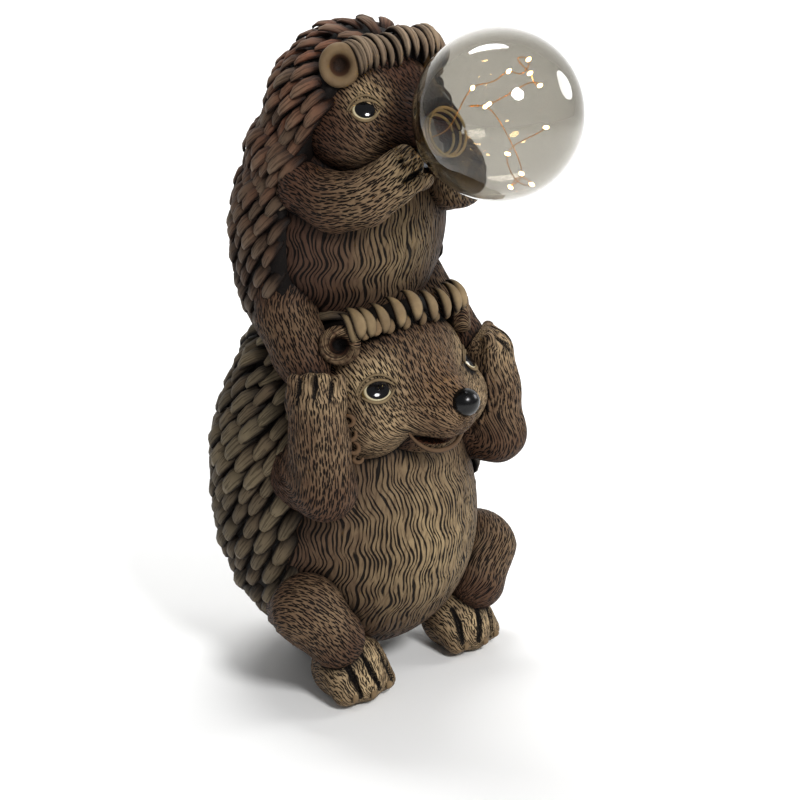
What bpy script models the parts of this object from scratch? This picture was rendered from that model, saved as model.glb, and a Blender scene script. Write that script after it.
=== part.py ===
# Garden statue of two hedgehogs cast as one piece. The upper one rides on the lower one's head and
# shoulders and blows a clear round globe with a short neck, which a dark cap closes in its mouth.
# Metres, +Z up. The pair looks along -Y and stands on Z = 0, below the lower body's middle.

import math

import bmesh
import bpy
import numpy as np
from mathutils import Matrix, Vector

# Driving sizes, in metres
FIGURE_HEIGHT = 0.3794
GLOBE_DIAMETER = 0.090
NECK_DIAMETER = 0.030
NECK_LENGTH = 0.0105
CAP_DIAMETER = 0.029
CAP_THICKNESS = 0.006
CAP_EDGE = 0.0008
FIT = 0.0003

# How fine the faceted solids are
BODY_VOXEL = 0.0025
SKIN_VOXEL = 0.00155
CASTING_TRIANGLES = 8500
GLOBE_SIDES = 28

# The figures are drawn on a height of 38.5 parts, so a part is about a centimetre.
DRAWN_HEIGHT = 38.5
PART = FIGURE_HEIGHT / DRAWN_HEIGHT

# The globe's neck meets the upper mouth here, and the globe points forward and a little up.
MOUTH = (0.0, -7.54, 33.02)
GLOBE_RISE = math.radians(20.4)

# Eggs are (centre, radii), and limbs are chains of (x, y, z, radius). What has x > 0 is repeated
# on the other side. All are in parts.
LOWER_EGGS = [
    ((0, -0.9, 8.9), (6.9, 6.9, 7.7)),
    ((0, -1.2, 14.4), (6.1, 5.0, 4.4)),
    ((0, 1.4, 3.0), (3.6, 3.0, 4.0)),
    ((0, -2.8, 18.8), (5.1, 4.3, 3.9)),
    ((3.1, -4.6, 16.8), (2.7, 2.6, 2.3)),
    ((0, 0.8, 21.0), (4.8, 4.3, 4.0)),
]
LOWER_LIMBS = [
    [(0, -4.4, 18.4, 2.9), (0, -8.7, 18.0, 1.0)],
    [(0, -4.0, 16.0, 2.0), (0, -7.1, 15.5, 0.8)],
    [(5.0, -1.8, 15.8, 2.2), (6.4, -3.3, 13.9, 1.9), (6.95, -5.4, 13.7, 1.6)],
    [(6.95, -5.4, 13.7, 1.6), (6.95, -5.0, 16.4, 1.5), (6.95, -4.6, 18.6, 1.55)],
    [(5.6, -1.2, 4.8, 1.8), (7.3, -4.1, 6.1, 1.85), (5.9, -4.9, 4.1, 1.75)],
]
UPPER_EGGS = [
    ((0, 0.3, 26.8), (5.3, 5.1, 6.6)),
    ((0, -1.6, 33.4), (4.3, 3.9, 3.9)),
    ((2.2, -2.9, 32.6), (2.3, 2.4, 2.0)),
]
UPPER_LIMBS = [
    [(0, -3.0, 33.6, 2.6), (0, -6.6, 33.2, 1.8)],
    [(4.9, -1.7, 29.8, 1.5), (4.3, -3.5, 29.2, 1.45), (3.6, -5.2, 29.6, 1.35)],
    [(3.6, -5.2, 29.6, 1.35), (2.6, -6.3, 30.6, 1.15), (2.1, -6.7, 31.4, 1.0)],
    [(4.5, 0.5, 24.2, 2.0), (5.2, -0.4, 22.2, 1.6), (5.6, -2.0, 20.6, 1.5), (6.2, -3.3, 19.6, 1.2)],
]

# A coat is the union of its eggs. Each is (centre, radii, front, lean) and is cut off at the front
# by a leaning plane, where Y is front less lean times the height over the centre.
LOWER_COAT = [((0, 0.3, 12.0), (8.45, 6.8, 11.0), -3.0, 0.0), ((0, -2.2, 18.8), (5.3, 4.2, 4.5), -3.4, 0.45)]
UPPER_COAT = [((0, 0.3, 26.2), (6.6, 6.1, 8.6), -1.7, 0.0), ((0, -0.9, 32.4), (5.15, 5.1, 6.0), -1.9, 0.42)]


def placed(point):
    """A drawn point in metres."""
    return Vector(point[:3]) * PART


def new_object(name, mesh_data):
    """A mesh object of that name in the scene."""
    obj = bpy.data.objects.new(name, mesh_data)
    bpy.context.scene.collection.objects.link(obj)
    return obj


def finished_mesh(name, shape):
    """The bmesh as a mesh."""
    mesh = bpy.data.meshes.new(name)
    shape.to_mesh(mesh)
    shape.free()
    return mesh


def evaluated_mesh(obj):
    """The object's mesh with its modifiers on."""
    graph = bpy.context.evaluated_depsgraph_get()
    return bpy.data.meshes.new_from_object(obj.evaluated_get(graph))


def painted(obj, name, colour, roughness, metallic=0.0, transmission=0.0):
    """Gives the object its own Principled material."""
    material = bpy.data.materials.new(name)
    material.use_nodes = True
    shader = material.node_tree.nodes["Principled BSDF"]
    shader.inputs["Base Color"].default_value = (*colour, 1.0)
    shader.inputs["Roughness"].default_value = roughness
    shader.inputs["Metallic"].default_value = metallic
    shader.inputs["Transmission Weight"].default_value = transmission
    obj.data.materials.append(material)


def sides(point):
    """Both signs for a form off the middle, and one for a form on it."""
    return (-1, 1) if point[0] > 0 else (1,)


def add_egg(shape, centre, radii, finer=3):
    """An ellipsoid at centre, which is in parts, as its radii are."""
    turn = Matrix.Translation(placed(centre)) @ Matrix.Diagonal((*(Vector(radii) * PART), 1.0))
    bmesh.ops.create_icosphere(shape, subdivisions=finer, radius=1.0, matrix=turn)


def add_limb(shape, chain, side):
    """A tapered round limb: each two balls of the chain share a convex skin."""
    for start, end in zip(chain, chain[1:]):
        skin = bmesh.new()
        for x, y, z, radius in (start, end):
            add_egg(skin, (side * x, y, z), (radius,) * 3, 2)
        hull = bmesh.ops.convex_hull(skin, input=skin.verts[:])
        inside = list({*hull["geom_interior"], *hull["geom_unused"]})
        bmesh.ops.delete(skin, geom=inside, context="VERTS")
        piece = finished_mesh("limb", skin)
        shape.from_mesh(piece)
        bpy.data.meshes.remove(piece)


def add_quill(shape, root, along, out, length, width, rise):
    """A thick leaf with a round tip. It lies along the coat, and its tip stands off by rise."""
    across = along.cross(out).normalized()
    outline = [(0.0, 0.0, -0.5), (0.4, 0.5, 0.3), (0.8, 0.42, 0.8), (1.0, 0.0, 0.9)]
    corners = [(0.5, 0.0, 1.0), (0.5, 0.0, -1.0)]
    for share, half, lift in outline:
        corners += [(share, half, lift), (share, -half, lift)] if half else [(share, half, lift)]
    leaf = bmesh.new()
    for share, half, lift in corners:
        leaf.verts.new(root + along * (share * length) + across * (half * width) + out * (lift * rise))
    bmesh.ops.convex_hull(leaf, input=leaf.verts[:])
    piece = finished_mesh("quill", leaf)
    shape.from_mesh(piece)
    bpy.data.meshes.remove(piece)


def coat_lattice(coat, core, lean, row_pitch, quill_pitch):
    """Staggered places on a coat behind its fronts, in parts, as (points, normals, flow directions).

    Rows are rings about a pole that leans forward by an angle. A ray from the core meets the
    union of the eggs where it leaves the last of them, and the flow there is the way down
    from the pole in the surface.
    """
    pole = np.array([0.0, -math.sin(lean), math.cos(lean)])
    level = np.array([0.0, math.cos(lean), math.sin(lean)])
    core = np.array(core)
    reach = coat[0][1][0]
    places = []
    angle = 0.5 * row_pitch / reach
    row = 0
    while angle < math.pi:
        count = max(3, round(2 * math.pi * reach * math.sin(angle) / quill_pitch))
        turn = (np.arange(count) + 0.5 * (row % 2)) * 2 * math.pi / count
        ring = np.stack([np.sin(turn), np.cos(turn)], 1) * math.sin(angle)
        rays = ring[:, :1] * np.array([1.0, 0.0, 0.0]) + ring[:, 1:] * level + math.cos(angle) * pole
        farthest = np.zeros(count)
        normals = np.zeros((count, 3))
        behind = np.zeros(count)
        for centre, radii, front, lean_back in coat:
            scaled_ray = rays / np.array(radii)
            scaled_core = (core - np.array(centre)) / np.array(radii)
            square = (scaled_ray**2).sum(1)
            half = scaled_ray @ scaled_core
            inside = half**2 - square * (scaled_core @ scaled_core - 1.0)
            leave = (-half + np.sqrt(np.maximum(inside, 0.0))) / square
            last = (inside > 0) & (leave > farthest)
            farthest[last] = leave[last]
            met = core + leave[:, None] * rays
            normals[last] = ((met - np.array(centre)) / np.array(radii) ** 2)[last]
            behind[last] = (met[:, 1] - front + lean_back * (met[:, 2] - centre[2]))[last]
        normals /= np.linalg.norm(normals, axis=1, keepdims=True)
        flow = -pole + (normals @ pole)[:, None] * normals
        flow /= np.linalg.norm(flow, axis=1, keepdims=True)
        kept = behind > 0
        places.append((core + (farthest[:, None] * rays)[kept], normals[kept], flow[kept]))
        angle += row_pitch / reach
        row += 1
    return [np.concatenate(column) for column in zip(*places)]


def add_coat(shape, coat, core, lean, pitches, quill, lowest):
    """The coat's cut eggs, and quills of that length, width and rise all over them."""
    for centre, radii, front, lean_back in coat:
        egg = bmesh.new()
        add_egg(egg, centre, radii)
        rim = bmesh.ops.bisect_plane(
            egg,
            geom=egg.verts[:] + egg.edges[:] + egg.faces[:],
            plane_co=placed((0, front, centre[2])),
            plane_no=Vector((0, -1, -lean_back)),
            clear_outer=True,
        )
        bmesh.ops.edgeloop_fill(egg, edges=[cut for cut in rim["geom_cut"] if isinstance(cut, bmesh.types.BMEdge)])
        piece = finished_mesh("egg", egg)
        shape.from_mesh(piece)
        bpy.data.meshes.remove(piece)
    length, width, rise = quill
    for point, normal, flow in zip(*coat_lattice(coat, core, lean, *pitches)):
        if point[2] < lowest:
            continue
        add_quill(shape, placed(point), Vector(flow), Vector(normal), length * PART, width * PART, rise * PART)


def add_fringe(shape, ends, peak, radius, ribs, rib_width):
    """A roll over the brow from ear to ear, crossed by curved ribs of brow quills."""
    reach_x, side_y, side_z = ends
    roll = []
    for step in range(ribs):
        share = -1 + 2 * step / (ribs - 1)
        bow = math.sqrt(1 - 0.82 * share**2)
        centre = np.array([
            reach_x * math.sin(0.5 * math.pi * share),
            side_y + (peak[0] - side_y) * bow,
            side_z + (peak[1] - side_z) * bow,
        ])
        chain = []
        for angle in (-0.5, 0.25, 1.0, 1.8):
            swell = rib_width * (0.55 + 0.45 * math.sin(0.8 + angle))
            chain.append((centre[0], centre[1] - radius * math.cos(angle), centre[2] + radius * math.sin(angle), swell))
        add_limb(shape, chain, 1)
        roll.append((*centre, 0.85 * radius))
    add_limb(shape, roll, 1)


def add_ear(shape, centre, tilt, radius, bead):
    """A round ear: a ring of beads about a hollow, leaning out to its side."""
    for side in (-1, 1):
        middle = np.array([side * centre[0], centre[1], centre[2]])
        across = np.array([side * math.cos(tilt), math.sin(tilt), 0.0])
        ring = []
        for angle in np.linspace(-0.25 * math.pi, 1.25 * math.pi, 9):
            place = middle + radius * (across * math.cos(angle) + np.array([0.0, 0.0, 1.0]) * math.sin(angle))
            ring.append((*place, bead))
        add_limb(shape, ring, 1)


def add_paws(shape):
    """Four digits a paw: the lower hands' upright fingers, the upper hands' and the lower toes.

    The lower left foot stands a little further out and back than the right one.
    """
    for side, out, back in ((-1, -0.1, 0.0), (1, 0.3, 0.45)):
        add_egg(shape, (side * (4.65 + out), -4.3 + back, 1.6), (2.0, 2.1, 1.9))
        for digit in range(4):
            spread = 0.6 * (digit - 1.5)
            add_limb(shape, [
                (6.9 + spread, -4.75 + spread, 18.6, 0.42),
                (6.85 + spread, -4.7 + spread, 19.85, 0.38),
            ], side)
            add_limb(shape, [
                (2.3 - 0.1 * digit, -6.6 - 0.15 * digit, 32.3 - 0.55 * digit, 0.42),
                (1.2, -7.4 - 0.35 * digit, 32.5 - 0.65 * digit, 0.36),
            ], side)
            add_limb(shape, [
                (3.25 + 0.93 * digit + out, -4.9 + back, 2.6, 0.6),
                (3.0 + 1.1 * digit + out, -6.1 + back, 0.95, 0.6),
            ], side)


def body_forms():
    """The bare bodies, blended where they meet."""
    shape = bmesh.new()
    for centre, radii in LOWER_EGGS + UPPER_EGGS:
        for side in sides(centre):
            add_egg(shape, (side * centre[0], *centre[1:]), radii)
    for chain in LOWER_LIMBS + UPPER_LIMBS:
        for side in sides(max(chain)):
            add_limb(shape, chain, side)
    forms = new_object("body_forms", finished_mesh("body_forms", shape))
    skin = forms.modifiers.new("skin", "REMESH")
    skin.mode = "VOXEL"
    skin.voxel_size = BODY_VOXEL
    blend = forms.modifiers.new("blend", "SMOOTH")
    blend.factor = 0.6
    blend.iterations = 8
    blended = evaluated_mesh(forms)
    bpy.data.objects.remove(forms)
    return blended


def largest_body(mesh):
    """The mesh without the crumbs that a fine skin leaves between forms that nearly meet."""
    shape = bmesh.new()
    shape.from_mesh(mesh)
    left = set(shape.verts)
    bodies = []
    while left:
        body = {left.pop()}
        edge_of_body = body
        while edge_of_body:
            edge_of_body = {edge.other_vert(vert) for vert in edge_of_body for edge in vert.link_edges} - body
            body |= edge_of_body
        left -= body
        bodies.append(body)
    largest = max(bodies, key=len)
    crumbs = [vert for body in bodies if body is not largest for vert in body]
    bmesh.ops.delete(shape, geom=crumbs, context="VERTS")
    return finished_mesh(mesh.name, shape)


def casting_shape():
    """The bodies, coats, fringes, ears, fingers and toes as overlapping closed shells."""
    shape = bmesh.new()
    shape.from_mesh(body_forms())
    add_coat(shape, LOWER_COAT, (0, 0.2, 13.0), 0.65, (1.62, 1.08), (2.6, 0.86, 0.42), 1.6)
    add_coat(shape, UPPER_COAT, (0, -0.2, 29.0), 0.65, (1.27, 0.84), (2.0, 0.68, 0.36), 18.6)
    add_fringe(shape, (4.1, -3.8, 21.9), (-4.9, 22.7), 0.95, 10, 0.42)
    add_fringe(shape, (2.6, -3.2, 37.0), (-3.9, 37.5), 0.8, 11, 0.32)
    add_ear(shape, (5.0, -4.35, 21.4), 0.65, 0.75, 0.4)
    add_ear(shape, (3.65, -3.15, 36.65), 0.65, 0.72, 0.38)
    add_paws(shape)
    add_egg(shape, (0, -9.35, 18.2), (0.75, 0.75, 0.7), 2)
    for side in (-1, 1):
        add_egg(shape, (side * 3.55, -6.0, 18.8), (0.7, 0.7, 0.6), 2)
        add_egg(shape, (side * 2.8, -4.25, 34.1), (0.55, 0.55, 0.5), 2)
    return finished_mesh("casting", shape)


def turned(name, profile, count):
    """A closed turned solid about +Z from (radius, height) points that start and end on the axis."""
    shape = bmesh.new()
    points = [shape.verts.new((radius, 0.0, height)) for radius, height in profile]
    edges = [shape.edges.new(pair) for pair in zip(points, points[1:])]
    bmesh.ops.spin(
        shape,
        geom=points + edges,
        axis=(0, 0, 1),
        cent=(0, 0, 0),
        steps=count,
        angle=2 * math.pi,
        use_merge=True,
    )
    bmesh.ops.remove_doubles(shape, verts=shape.verts[:], dist=1e-6)
    bmesh.ops.recalc_face_normals(shape, faces=shape.faces[:])
    return new_object(name, finished_mesh(name, shape))


def ball_and_neck(radius, neck, length):
    """The profile of a ball above Z = 0 with a neck below it, from its top down to the neck's end."""
    seat = math.sqrt(radius**2 - neck**2)
    steps = GLOBE_SIDES // 2
    last = math.pi - math.asin(neck / radius)
    arc = [(radius * math.sin(last * i / steps), seat + radius * math.cos(last * i / steps)) for i in range(steps)]
    arc[0] = (0.0, seat + radius)
    return arc + [(neck, 0.0), (neck, -length), (0.0, -length)]


for old in list(bpy.data.objects):
    bpy.data.objects.remove(old, do_unlink=True)

# What stands in the mouth is turned about +Z and then laid along the globe's own direction.
in_mouth = Matrix.Translation(placed(MOUTH)) @ Matrix.Rotation(0.5 * math.pi - GLOBE_RISE, 4, "X")

globe = turned("clear_globe", ball_and_neck(GLOBE_DIAMETER / 2, NECK_DIAMETER / 2, NECK_LENGTH), GLOBE_SIDES)
globe.matrix_world = in_mouth
painted(globe, "clear glass", (0.95, 0.95, 0.95), 0.02, transmission=1.0)
globe.data.shade_smooth()

cap_top = -NECK_LENGTH - FIT
cap_radius = CAP_DIAMETER / 2
cap = turned("neck_cap", [
    (0.0, cap_top),
    (cap_radius - CAP_EDGE, cap_top),
    (cap_radius, cap_top - CAP_EDGE),
    (cap_radius, cap_top - CAP_THICKNESS),
    (0.0, cap_top - CAP_THICKNESS),
], GLOBE_SIDES)
cap.matrix_world = in_mouth
painted(cap, "dark plastic", (0.02, 0.02, 0.02), 0.45)

seat_cutter = turned(
    "seat_cutter",
    ball_and_neck(GLOBE_DIAMETER / 2 + FIT, max(NECK_DIAMETER, CAP_DIAMETER) / 2 + FIT,
                  NECK_LENGTH + CAP_THICKNESS + 2 * FIT),
    GLOBE_SIDES,
)
seat_cutter.matrix_world = in_mouth

ground_shape = bmesh.new()
bmesh.ops.create_cube(ground_shape, size=1.0, matrix=Matrix.Translation((0, 0, -0.5)))
ground_cutter = new_object("ground_cutter", finished_mesh("ground_cutter", ground_shape))

rough = new_object("rough", casting_shape())
one_skin = rough.modifiers.new("one skin", "REMESH")
one_skin.mode = "VOXEL"
one_skin.voxel_size = SKIN_VOXEL
casting = new_object("hedgehog_pair", largest_body(evaluated_mesh(rough)))
bpy.data.objects.remove(rough)
painted(casting, "painted cast resin", (0.12, 0.075, 0.045), 0.55)
facets = casting.modifiers.new("facets", "DECIMATE")
facets.ratio = CASTING_TRIANGLES / (2 * len(casting.data.polygons))
for cutter in (ground_cutter, seat_cutter):
    cut = casting.modifiers.new(cutter.name, "BOOLEAN")
    cut.operation = "DIFFERENCE"
    cut.solver = "EXACT"
    cut.object = cutter
    cutter.hide_render = True
    cutter.display_type = "WIRE"
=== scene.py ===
# Two cast hedgehogs, one on the other's shoulders, blowing a clear globe with a light string in it.
import math

import bmesh
import bpy
import numpy as np
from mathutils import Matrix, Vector


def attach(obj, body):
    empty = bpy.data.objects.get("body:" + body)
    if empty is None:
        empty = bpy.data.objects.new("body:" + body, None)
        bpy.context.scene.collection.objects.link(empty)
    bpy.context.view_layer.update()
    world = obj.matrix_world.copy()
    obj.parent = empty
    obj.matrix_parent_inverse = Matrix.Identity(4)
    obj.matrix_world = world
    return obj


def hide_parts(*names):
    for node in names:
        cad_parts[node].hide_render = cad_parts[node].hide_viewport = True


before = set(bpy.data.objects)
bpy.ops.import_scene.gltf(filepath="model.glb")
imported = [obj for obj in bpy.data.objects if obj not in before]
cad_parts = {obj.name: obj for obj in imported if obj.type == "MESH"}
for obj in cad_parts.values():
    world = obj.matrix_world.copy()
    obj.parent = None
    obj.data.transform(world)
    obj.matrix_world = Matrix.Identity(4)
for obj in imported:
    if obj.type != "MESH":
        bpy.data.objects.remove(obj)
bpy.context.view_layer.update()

# Camera, floor and lights. The camera stands where the photograph's did, which was worked out from
# matching points on the two sides of the figures. The floor is plain and pale, and the light is a
# photographer's: one broad soft box from the front left, a weak one from the right and a pale room.
scene = bpy.context.scene
camera = bpy.data.objects.new("camera", bpy.data.cameras.new("camera"))
scene.collection.objects.link(camera)
camera.location = (-0.7154, -0.7821, 0.5062)
camera.rotation_euler = (Vector((0.0, -0.0413, 0.1680)) - camera.location).to_track_quat("-Z", "Y").to_euler()
camera.data.lens = 85.46
camera.data.sensor_width = 36
scene.camera = camera


def linear(colour):
    """The shader's linear red, green and blue for an sRGB hex colour."""
    parts = np.array([int(colour[i:i + 2], 16) for i in (1, 3, 5)]) / 255
    return (*np.where(parts > 0.04045, ((parts + 0.055) / 1.055) ** 2.4, parts / 12.92), 1.0)


def new_material(name, colour, roughness, inputs=()):
    """A material with a plain Principled shader whose inputs are set, and that shader."""
    material = bpy.data.materials.new(name)
    material.use_nodes = True
    shader = material.node_tree.nodes["Principled BSDF"]
    shader.inputs["Base Color"].default_value = linear(colour)
    shader.inputs["Roughness"].default_value = roughness
    for key, value in dict(inputs).items():
        shader.inputs[key].default_value = value
    return material, shader


def add_light(name, kind, place, target, power, size):
    """An area light at place that faces target."""
    light = bpy.data.lights.new(name, "AREA")
    light.shape = kind
    light.energy = power
    light.size = size
    lamp = bpy.data.objects.new(name, light)
    scene.collection.objects.link(lamp)
    lamp.location = place
    lamp.rotation_euler = (Vector(target) - Vector(place)).to_track_quat("-Z", "Y").to_euler()


SWEEP_START = 1.6
SWEEP_RADIUS = 1.2
bend = np.linspace(0.1, 0.5 * np.pi, 12)
run = np.concatenate([[-3.0, SWEEP_START], SWEEP_START + SWEEP_RADIUS * np.sin(bend), [SWEEP_START + SWEEP_RADIUS]])
rise = np.concatenate([[0.0, 0.0], SWEEP_RADIUS - SWEEP_RADIUS * np.cos(bend), [5.0]])
away = np.array([0.6947, 0.7193])
aside = np.array([0.7193, -0.6947])
corners = [(*(away * run[i] + aside * side), rise[i]) for i in range(len(run)) for side in (-4.0, 4.0)]
floor_mesh = bpy.data.meshes.new("floor")
floor_mesh.from_pydata(corners, [], [(2 * i, 2 * i + 1, 2 * i + 3, 2 * i + 2) for i in range(len(run) - 1)])
floor_mesh.shade_smooth()
floor = bpy.data.objects.new("floor", floor_mesh)
scene.collection.objects.link(floor)
floor_mesh.materials.append(new_material("white paper sweep", "#f6f6f5", 0.9)[0])

add_light("soft box", "DISK", (-0.35, -1.25, 1.15), (0, -0.03, 0.2), 19, 0.4)
add_light("fill", "DISK", (1.3, -0.6, 0.8), (0, -0.03, 0.2), 7, 0.6)
add_light("backdrop light", "DISK", (0.3, 0.6, 2.2), (1.6, 1.6, 0.9), 70, 1.2)
scene.world = bpy.data.worlds.new("pale room")
scene.world.use_nodes = True
scene.world.node_tree.nodes["Background"].inputs["Color"].default_value = linear("#f2f3f5")
scene.world.node_tree.nodes["Background"].inputs["Strength"].default_value = 0.28
scene.view_settings.view_transform = "Standard"

# Paint of the figures. The cast resin is painted a matt brown that gives hardly a highlight, a
# near-black wash is left in what lies deep, and a tan coat is brushed dry over what stands proud.
# The same near black also paints in shade: where parts meet, under rolls and quills, in the ears and
# over the coat shells. Three numbers at each point of a mesh say how much: wash and painted shade,
# gold and rust.
# Near black of the wash and of the painted shade.
WASH_AND_SHADE = "#0a0605"
CUT_WASH = "#0b0604"


def add_node(tree, kind, settings=(), inputs=()):
    """A shader node of that kind, with its settings, and its inputs set to values or linked to sockets."""
    node = tree.nodes.new("ShaderNode" + kind)
    for name, value in dict(settings).items():
        setattr(node, name, value)
    for name, value in dict(inputs).items():
        if isinstance(value, bpy.types.NodeSocket):
            tree.links.new(value, node.inputs[name])
        else:
            node.inputs[name].default_value = value
    return node


def cut_pattern(tree, pattern):
    """How deep a pattern is cut into the skin, 0 to 1, from the mesh's lengths round and along it.

    All lengths are in parts of about a centimetre. Strokes: in each cell of a Voronoi pattern lies a
    lens with its own lean and width, 1.5 less the squares of aside / half width and down / 0.22.
    Strands: a sine with a groove each 0.26, moved sideways by a slow noise and broken by a quick
    one. Streaks: the low parts of a noise that is stretched along.
    """
    lay = [add_node(tree, "Attribute", {"attribute_name": key}).outputs["Fac"]
           for key in ("lay_round", "lay_along")]
    cell_size = {"strokes": (0.18, 0.38, 1.0), "strands": (0.35, 1.3, 1.0), "streaks": (0.11, 1.6, 1.0)}[pattern]
    flat = add_node(tree, "CombineXYZ", {}, {"X": lay[0], "Y": lay[1]}).outputs["Vector"]
    where = add_node(tree, "VectorMath", {"operation": "DIVIDE"}, {0: flat, 1: cell_size}).outputs["Vector"]
    if pattern == "streaks":
        hair = add_node(tree, "TexNoise", {"noise_dimensions": "2D"}, {
            "Vector": where, "Scale": 1.0, "Detail": 1.0, "Roughness": 0.4})
        return add_node(tree, "MapRange", {}, {
            "Value": hair.outputs["Fac"], "From Min": 0.465, "From Max": 0.42}).outputs["Result"]
    if pattern == "strokes":
        cell = add_node(tree, "TexVoronoi", {"voronoi_dimensions": "2D"}, {
            "Vector": where, "Scale": 1.0, "Randomness": 0.85})
        off = add_node(tree, "VectorMath", {"operation": "SUBTRACT"}, {
            0: where, 1: cell.outputs["Position"]})
        off = add_node(tree, "VectorMath", {"operation": "MULTIPLY"}, {
            0: off.outputs["Vector"], 1: cell_size})
        off = add_node(tree, "SeparateXYZ", {}, {"Vector": off.outputs["Vector"]}).outputs
        luck = add_node(tree, "SeparateColor", {}, {"Color": cell.outputs["Color"]}).outputs
        known = {"aside": off["X"], "down": off["Y"], "red": luck["Red"], "green": luck["Green"]}
        sums = (("slope", "MULTIPLY_ADD", "red", 0.35, -0.175),
                ("leaning", "MULTIPLY", "slope", "down"),
                ("aside", "SUBTRACT", "aside", "leaning"),
                ("half width", "MULTIPLY_ADD", "green", 0.025, 0.03),
                ("across", "DIVIDE", "aside", "half width"),
                ("across squared", "MULTIPLY", "across", "across"),
                ("down", "DIVIDE", "down", 0.22),
                ("size", "MULTIPLY_ADD", "down", "down", "across squared"),
                ("depth", "SUBTRACT", 1.5, "size"))
    else:
        known = {"round": lay[0]}
        for key, scale in (("drift", 0.4), ("breaks", 1.0)):
            known[key] = add_node(tree, "TexNoise", {"noise_dimensions": "2D"}, {
                "Vector": where, "Scale": scale, "Detail": 1.0, "Roughness": 0.5}).outputs["Fac"]
        sums = (("drift", "MULTIPLY", "drift", 13.0),
                ("phase", "MULTIPLY_ADD", "round", 24.0, "drift"),
                ("wave", "SINE", "phase"),
                ("ridge", "MULTIPLY_ADD", "breaks", 3.2, "wave"),
                ("over", "SUBTRACT", "ridge", 1.79),
                ("depth", "DIVIDE", "over", 0.55))
    for result, operation, *terms in sums:
        known[result] = add_node(tree, "Math", {"operation": operation, "use_clamp": result == "depth"}, {
            k: known[term] if isinstance(term, str) else term for k, term in enumerate(terms)}).outputs["Value"]
    return known["depth"]


def painted_resin(name, brown, gold, rust="#7d4429", pattern=""):
    """Painted cast resin: brown, rust and gold mixed by the mesh's numbers, under a dark wash that also paints in
    shade.

    Blotches of 11 mm and grains under 1 mm make the coats uneven, and a pattern that is cut in
    holds the wash.
    """
    material, shader = new_material(name, brown, 0.6, {"Specular IOR Level": 0.12})
    tree = material.node_tree
    place = add_node(tree, "TexCoord").outputs["Object"]
    blotch = add_node(tree, "TexNoise", {}, {
        "Vector": place, "Scale": 90.0, "Detail": 4.0, "Roughness": 0.6}).outputs["Fac"]
    grain = add_node(tree, "TexNoise", {}, {"Vector": place, "Scale": 1400.0, "Detail": 3.0}).outputs["Fac"]
    bump = add_node(tree, "Bump", {}, {"Height": grain, "Strength": 0.25, "Distance": 0.0002})
    coats = []
    for key, paint, texture, low, high in (("rust", rust, blotch, 0.4, 1.0), ("gold", gold, blotch, 0.55, 1.1),
                                           ("wash_and_shade", WASH_AND_SHADE, grain, 0.9, 1.2)):
        share = add_node(tree, "Attribute", {"attribute_name": key}).outputs["Fac"]
        stretch = add_node(tree, "MapRange", {}, {
            "Value": texture, "From Min": 0.3, "From Max": 0.7, "To Min": low, "To Max": high})
        amount = add_node(tree, "Math", {"operation": "MULTIPLY", "use_clamp": True}, {
            0: share, 1: stretch.outputs["Result"]})
        coats.append((amount.outputs["Value"], paint))
    if pattern:
        cut = cut_pattern(tree, pattern)
        held, dent = (0.45, 0.4) if pattern == "streaks" else (0.97, 1.0)
        held = add_node(tree, "Math", {"operation": "MULTIPLY"}, {0: cut, 1: held})
        coats.insert(2, (held.outputs["Value"], CUT_WASH))
        bump = add_node(tree, "Bump", {"invert": True}, {
            "Height": cut, "Strength": dent, "Distance": 0.0008, "Normal": bump.outputs["Normal"]})
    colour = linear(brown)
    for amount, paint in coats:
        colour = add_node(tree, "Mix", {"data_type": "RGBA"}, {
            "Factor": amount, 6: colour, 7: linear(paint)}).outputs[2]
    tree.links.new(colour, shader.inputs["Base Color"])
    tree.links.new(bump.outputs["Normal"], shader.inputs["Normal"])
    return material


furred = painted_resin("painted cast resin", "#4b3327", "#c2a982", pattern="strokes")
stranded = painted_resin("painted belly", "#453127", "#b9a27a", pattern="strands")
plain_resin = painted_resin("painted plain resin", "#4a3628", "#ab9872")

# Lower hedgehog's trunk: cast resin like all of both figures, one piece with them. Its belly carries
# long wavy strands. The shape is a blend of eggs and limbs, in parts of about a centimetre, that a
# ray from a spine meets, and the strands are cut along the skin. The globe's room stays free.
PART = 0.3794 / 38.5
GLOBE_ROOM = ((0.0, -11.58, 34.51), 4.6)


def form_distance(points, forms, blend):
    """How far points lie outside a blend of forms, the same on both sides of the middle.

    An egg (centre, radii) gives k(k - 1)/|q/r|, where q = (p - centre)/r and k = |q|. Two balls of a
    limb give the distance to their axis less the radius there. Two forms nearer than the blend sink
    into each other by a quarter of the blend at most.
    """
    points = np.concatenate([np.abs(points[..., :1]), points[..., 1:]], -1)
    result = None
    for form in forms:
        if len(form) == 2 and len(form[0]) == 3:
            scaled = (points - np.array(form[0])) / np.array(form[1])
            size = np.linalg.norm(scaled, axis=-1)
            found = [size * (size - 1) / np.maximum(np.linalg.norm(scaled / np.array(form[1]), axis=-1), 1e-6)]
        else:
            found = []
            for start, end in zip(np.array(form, float), np.array(form[1:], float)):
                axis = (end - start)[:3]
                share = np.clip((points - start[:3]) @ axis / (axis @ axis), 0, 1)
                middle = start[:3] + share[..., None] * axis
                found.append(np.linalg.norm(points - middle, axis=-1) - start[3] - share * (end[3] - start[3]))
        for distance in found:
            if result is None:
                result = distance
                continue
            near = np.clip(0.5 + 0.5 * (distance - result) / blend, 0, 1)
            result = distance + near * (result - distance) - blend * near * (1 - near)
    return result


def smooth_path(points, count, rounds, knots=None):
    """count places along the points, each drawn to the mean of its neighbours in so many rounds.

    knots say how far along each point stands. Without them, the points stand at even steps.
    """
    points = np.array(points, float)
    knots = np.arange(len(points)) if knots is None else knots
    path = np.stack([np.interp(np.linspace(0, knots[-1], count), knots, column) for column in points.T], 1)
    for _ in range(rounds):
        path[1:-1] = (path[:-2] + 2 * path[1:-1] + path[2:]) / 4
    return path


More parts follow.
